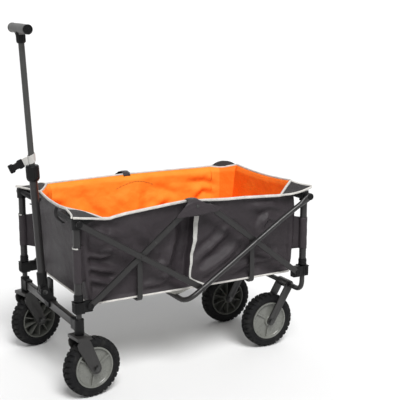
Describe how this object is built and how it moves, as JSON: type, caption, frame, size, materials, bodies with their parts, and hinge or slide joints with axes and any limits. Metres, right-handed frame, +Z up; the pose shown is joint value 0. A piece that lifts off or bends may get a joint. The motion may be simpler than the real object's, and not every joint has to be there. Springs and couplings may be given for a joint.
{
  "type": "folding wagon",
  "caption": "Folding four-wheeled fabric wagon with crossing side bars, front swivel casters and a telescoping T-handle.",
  "frame": {"origin": "on the floor, at the middle of the whole outline in plan, with the handle standing up and extended", "axes": "+Z up; -Y towards the handle and the front casters; +X to the wagon's left side"},
  "size_m": [0.5548, 0.9014, 1.0599],
  "materials": {
    "powder_coat": "dark grey powder coat, satin",
    "black_plastic": "fine moulded grain",
    "hub_plastic": "moulded, satin",
    "tyre": "black rubber with tread blocks",
    "steel": "zinc plated",
    "fabric": "charcoal woven polyester",
    "liner": "orange woven polyester",
    "webbing": "light grey webbing and binding"
  },
  "bodies": {
    "rear_frame": {"rear_leg_frame": "powder_coat", "rear_lower_bracket_left": "black_plastic", "rear_lower_bracket_right": "black_plastic", "rear_fork_left": "powder_coat", "rear_fork_right": "powder_coat", "rear_axle_left": "steel", "rear_axle_right": "steel"},
    "rear_low_bars": {"rear_low_bar_left": "powder_coat", "rear_low_bar_right": "powder_coat"},
    "crossing_tube": {"crossing_tube": "powder_coat"},
    "top_hubs": {"top_hub_left": "black_plastic", "top_hub_right": "black_plastic"},
    "rear_uppers": {"rear_post_left": "powder_coat", "rear_post_right": "powder_coat", "rear_collar_left": "black_plastic", "rear_collar_right": "black_plastic", "rear_top_bracket_left": "black_plastic", "rear_top_bracket_right": "black_plastic", "basket": "fabric"},
    "rear_hanger": {"rear_floor_hanger": "powder_coat"},
    "front_top_bars": {"front_top_bar_left": "powder_coat", "front_top_bar_right": "powder_coat"},
    "front_low_bars": {"front_low_bar_left": "powder_coat", "front_low_bar_right": "powder_coat"},
    "front_uppers": {"front_post_left": "powder_coat", "front_post_right": "powder_coat", "front_collar_left": "black_plastic", "front_collar_right": "black_plastic", "front_top_bracket_left": "black_plastic", "front_top_bracket_right": "black_plastic"},
    "front_hanger": {"front_floor_hanger": "powder_coat"},
    "front_frame": {"front_leg_left": "powder_coat", "front_leg_right": "powder_coat", "front_lower_bracket_left": "black_plastic", "front_lower_bracket_right": "black_plastic", "caster_socket_left": "black_plastic", "caster_socket_right": "black_plastic", "front_crossbar": "powder_coat", "handle_yoke": "black_plastic", "handle_pin": "steel"},
    "rear_wheel_left": {"rear_tyre_left": "tyre", "rear_wheel_hub_left": "hub_plastic"},
    "rear_wheel_right": {"rear_tyre_right": "tyre", "rear_wheel_hub_right": "hub_plastic"},
    "caster_left": {"caster_fork_left": "powder_coat", "front_axle_left": "steel"},
    "front_wheel_left": {"front_tyre_left": "tyre", "front_wheel_hub_left": "hub_plastic"},
    "caster_right": {"caster_fork_right": "powder_coat", "front_axle_right": "steel"},
    "front_wheel_right": {"front_tyre_right": "tyre", "front_wheel_hub_right": "hub_plastic"},
    "handle": {"handle_knuckle": "black_plastic", "handle_outer_tube": "powder_coat", "handle_collar": "black_plastic", "handle_strap": "webbing", "handle_buckle": "black_plastic"},
    "handle_top": {"handle_inner_tube": "powder_coat", "handle_grip": "black_plastic"}
  },
  "joints": [
    {"name": "fold", "type": "hinge", "parent": "rear_frame", "child": "rear_low_bars", "pos_m": [0, 0.40013, 0.275], "axis": [-1, 0, 0], "range_deg": [0, 44], "deforming": ["basket"]},
    {"name": "rear_cross_pin", "type": "hinge", "parent": "rear_low_bars", "child": "crossing_tube", "pos_m": [0, 0.24063, 0.4], "axis": [1, 0, 0], "range_deg": [0, 87]},
    {"name": "top_hub_pin", "type": "hinge", "parent": "rear_low_bars", "child": "top_hubs", "pos_m": [0, 0.08113, 0.525], "axis": [1, 0, 0], "range_deg": [0, 44]},
    {"name": "rear_top_pin", "type": "hinge", "parent": "crossing_tube", "child": "rear_uppers", "pos_m": [0, 0.43213, 0.52], "axis": [1, 0, 0], "range_deg": [-43, 0]},
    {"name": "rear_hanger_pin", "type": "hinge", "parent": "crossing_tube", "child": "rear_hanger", "pos_m": [0, 0.24063, 0.4], "axis": [1, 0, 0], "range_deg": [-43, 0]},
    {"name": "base_pin", "type": "hinge", "parent": "crossing_tube", "child": "front_top_bars", "pos_m": [0, 0.04913, 0.28], "axis": [1, 0, 0], "range_deg": [-86, 0]},
    {"name": "front_cross_pin", "type": "hinge", "parent": "front_top_bars", "child": "front_low_bars", "pos_m": [0, -0.14237, 0.4], "axis": [1, 0, 0], "range_deg": [0, 87]},
    {"name": "front_top_pin", "type": "hinge", "parent": "front_top_bars", "child": "front_uppers", "pos_m": [0, -0.33387, 0.52], "axis": [1, 0, 0], "range_deg": [0, 43]},
    {"name": "front_hanger_pin", "type": "hinge", "parent": "front_top_bars", "child": "front_hanger", "pos_m": [0, -0.14237, 0.4], "axis": [1, 0, 0], "range_deg": [0, 43]},
    {"name": "front_low_pin", "type": "hinge", "parent": "front_low_bars", "child": "front_frame", "pos_m": [0, -0.30187, 0.275], "axis": [1, 0, 0], "range_deg": [-44, 0]},
    {"name": "rear_wheel_left_spin", "type": "hinge", "parent": "rear_frame", "child": "rear_wheel_left", "pos_m": [0.134, 0.36213, 0.089], "axis": [1, 0, 0], "continuous": true},
    {"name": "rear_wheel_right_spin", "type": "hinge", "parent": "rear_frame", "child": "rear_wheel_right", "pos_m": [-0.134, 0.36213, 0.089], "axis": [1, 0, 0], "continuous": true},
    {"name": "caster_left_swivel", "type": "hinge", "parent": "front_frame", "child": "caster_left", "pos_m": [0.232, -0.33387, 0.192], "axis": [0, 0, 1], "continuous": true},
    {"name": "front_wheel_left_spin", "type": "hinge", "parent": "caster_left", "child": "front_wheel_left", "pos_m": [0.22678, -0.29674, 0.089], "axis": [0.9903, 0.1392, 0], "continuous": true},
    {"name": "caster_right_swivel", "type": "hinge", "parent": "front_frame", "child": "caster_right", "pos_m": [-0.232, -0.33387, 0.192], "axis": [0, 0, 1], "continuous": true},
    {"name": "front_wheel_right_spin", "type": "hinge", "parent": "caster_right", "child": "front_wheel_right", "pos_m": [-0.24171, -0.29765, 0.089], "axis": [0.9659, 0.2588, 0], "continuous": true},
    {"name": "handle_swing", "type": "hinge", "parent": "front_frame", "child": "handle", "pos_m": [0, -0.35587, 0.262], "axis": [1, 0, 0], "range_deg": [0, 100]},
    {"name": "handle_telescope", "type": "slide", "parent": "handle", "child": "handle_top", "axis": [0, -0.0515, 0.9987], "range_m": [-0.25, 0]}
  ],
  "couplings": [
    {"joint": "rear_cross_pin", "follows": "fold", "ratio": 1.975},
    {"joint": "top_hub_pin", "follows": "fold", "ratio": 1},
    {"joint": "rear_top_pin", "follows": "fold", "ratio": -0.975},
    {"joint": "rear_hanger_pin", "follows": "fold", "ratio": -0.975},
    {"joint": "base_pin", "follows": "fold", "ratio": -1.95},
    {"joint": "front_cross_pin", "follows": "fold", "ratio": 1.975},
    {"joint": "front_top_pin", "follows": "fold", "ratio": 0.975},
    {"joint": "front_hanger_pin", "follows": "fold", "ratio": 0.975},
    {"joint": "front_low_pin", "follows": "fold", "ratio": -1}
  ]
}
